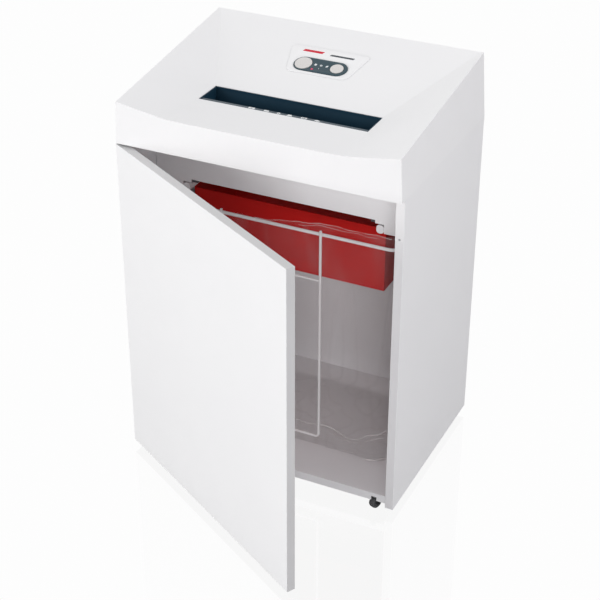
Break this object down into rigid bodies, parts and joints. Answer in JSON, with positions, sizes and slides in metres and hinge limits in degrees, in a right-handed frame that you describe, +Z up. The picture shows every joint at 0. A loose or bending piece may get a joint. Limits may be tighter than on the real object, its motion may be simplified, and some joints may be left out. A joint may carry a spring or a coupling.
{
  "type": "paper shredder",
  "caption": "Free-standing office paper shredder: board cabinet on casters, door half open on a wire-framed waste bag, slotted head with a button console.",
  "frame": {"origin": "on the floor, under the middle of the closed cabinet", "axes": "+X to the right seen from the front, +Y to the back, +Z up"},
  "size_m": [0.5408, 0.6621, 0.7771],
  "materials": {
    "melamine": "white melamine faced board with a fine pearl texture",
    "housing": "white moulded plastic, fine satin grain",
    "white_metal": "white powder coat",
    "teal_plastic": "dark petrol blue satin plastic",
    "red_plastic": "semi-gloss red",
    "silver_plastic": "silver lacquered plastic",
    "led": "clear red lens",
    "steel": "zinc plated",
    "dark_steel": "hardened and blackened",
    "nylon": "natural nylon",
    "black_plastic": "black satin plastic",
    "circuit_board": "green laminate",
    "bag_film": "clear polythene film, creased",
    "tyre": "dark grey"
  },
  "bodies": {
    "cabinet": {"left_side_panel": "melamine", "right_side_panel": "melamine", "base_panel": "melamine", "back_panel": "melamine", "head_housing": "housing", "head_tray": "housing", "console_badge": "housing", "door_sensor": "housing", "front_apron": "white_metal", "support_rail_left": "white_metal", "support_rail_right": "white_metal", "bag_rail_left": "white_metal", "bag_rail_right": "white_metal", "catch_strip": "white_metal", "feed_throat": "teal_plastic", "console_pad": "teal_plastic", "shred_chute": "red_plastic", "led_lens": "led", "tie_rod_front": "steel", "tie_rod_rear": "steel", "tie_rod_top": "steel", "stripper_comb_front": "steel", "stripper_comb_rear": "steel", "top_pivot": "steel", "bottom_pivot": "steel", "caster_mount_front_left": "steel", "caster_mount_front_right": "steel", "caster_mount_rear_left": "steel", "caster_mount_rear_right": "steel", "drive_motor": "dark_steel", "cutter_plate_left": "dark_steel", "cutter_plate_right": "dark_steel", "motor_capacitor": "nylon", "mains_inlet": "black_plastic", "control_board": "circuit_board"},
    "door": {"door_panel": "melamine", "strike_plate": "steel", "door_magnet": "dark_steel"},
    "bag": {"bag_frame": "white_metal", "waste_bag": "bag_film"},
    "power_button": {"power_button": "silver_plastic"},
    "reverse_button": {"reverse_button": "silver_plastic"},
    "rear_cutter": {"rear_cutter": "dark_steel", "rear_cutter_gear": "steel"},
    "front_cutter": {"front_cutter": "dark_steel", "front_cutter_gear": "steel"},
    "reduction": {"reduction_gear": "nylon"},
    "pinion": {"motor_pinion": "steel"},
    "rocker": {"mains_rocker": "black_plastic"},
    "fork_front_left": {"caster_fork_front_left": "black_plastic"},
    "wheel_front_left": {"caster_wheel_front_left": "tyre"},
    "fork_front_right": {"caster_fork_front_right": "black_plastic"},
    "wheel_front_right": {"caster_wheel_front_right": "tyre"},
    "fork_rear_left": {"caster_fork_rear_left": "black_plastic"},
    "wheel_rear_left": {"caster_wheel_rear_left": "tyre"},
    "fork_rear_right": {"caster_fork_rear_right": "black_plastic"},
    "wheel_rear_right": {"caster_wheel_rear_right": "tyre"}
  },
  "joints": [
    {"name": "door_swing", "type": "hinge", "parent": "cabinet", "child": "door", "pos_m": [-0.263, -0.1895, 0], "axis": [0, 0, -1], "range_deg": [-30.3, 64.7]},
    {"name": "bag_slide", "type": "slide", "parent": "cabinet", "child": "bag", "axis": [0, -1, 0], "range_m": [0, 0.035]},
    {"name": "power_press", "type": "slide", "parent": "cabinet", "child": "power_button", "axis": [0, 0.2909, -0.9567], "range_m": [0, 0.0015], "stiffness_N_per_m": 800},
    {"name": "reverse_press", "type": "slide", "parent": "cabinet", "child": "reverse_button", "axis": [0, 0.2909, -0.9567], "range_m": [0, 0.0015], "stiffness_N_per_m": 800},
    {"name": "rear_cutter_spin", "type": "hinge", "parent": "cabinet", "child": "rear_cutter", "pos_m": [0, -0.027, 0.62], "axis": [1, 0, 0], "continuous": true},
    {"name": "front_cutter_spin", "type": "hinge", "parent": "cabinet", "child": "front_cutter", "pos_m": [0, -0.063, 0.62], "axis": [1, 0, 0], "continuous": true},
    {"name": "reduction_spin", "type": "hinge", "parent": "cabinet", "child": "reduction", "pos_m": [0.184, 0.003, 0.62], "axis": [1, 0, 0], "continuous": true},
    {"name": "pinion_spin", "type": "hinge", "parent": "cabinet", "child": "pinion", "pos_m": [0.184, 0.057, 0.62], "axis": [1, 0, 0], "continuous": true},
    {"name": "rocker_tilt", "type": "hinge", "parent": "cabinet", "child": "rocker", "pos_m": [-0.2, 0.1905, 0.624], "axis": [1, 0, 0], "range_deg": [0, 12]},
    {"name": "swivel_front_left", "type": "hinge", "parent": "cabinet", "child": "fork_front_left", "pos_m": [-0.23, -0.16, 0.03], "axis": [0, 0, 1], "continuous": true},
    {"name": "roll_front_left", "type": "hinge", "parent": "fork_front_left", "child": "wheel_front_left", "pos_m": [-0.23225, -0.16556, 0.0123], "axis": [0.9272, -0.3746, 0], "continuous": true},
    {"name": "swivel_front_right", "type": "hinge", "parent": "cabinet", "child": "fork_front_right", "pos_m": [0.23, -0.16, 0.03], "axis": [0, 0, 1], "continuous": true},
    {"name": "roll_front_right", "type": "hinge", "parent": "fork_front_right", "child": "wheel_front_right", "pos_m": [0.22775, -0.16556, 0.0123], "axis": [0.9272, -0.3746, 0], "continuous": true},
    {"name": "swivel_rear_left", "type": "hinge", "parent": "cabinet", "child": "fork_rear_left", "pos_m": [-0.23, 0.159, 0.03], "axis": [0, 0, 1], "continuous": true},
    {"name": "roll_rear_left", "type": "hinge", "parent": "fork_rear_left", "child": "wheel_rear_left", "pos_m": [-0.23225, 0.15344, 0.0123], "axis": [0.9272, -0.3746, 0], "continuous": true},
    {"name": "swivel_rear_right", "type": "hinge", "parent": "cabinet", "child": "fork_rear_right", "pos_m": [0.23, 0.159, 0.03], "axis": [0, 0, 1], "continuous": true},
    {"name": "roll_rear_right", "type": "hinge", "parent": "fork_rear_right", "child": "wheel_rear_right", "pos_m": [0.22775, 0.15344, 0.0123], "axis": [0.9272, -0.3746, 0], "continuous": true}
  ],
  "couplings": [
    {"joint": "front_cutter_spin", "follows": "rear_cutter_spin", "ratio": -1},
    {"joint": "reduction_spin", "follows": "rear_cutter_spin", "ratio": -1.5},
    {"joint": "pinion_spin", "follows": "rear_cutter_spin", "ratio": 7.5}
  ]
}
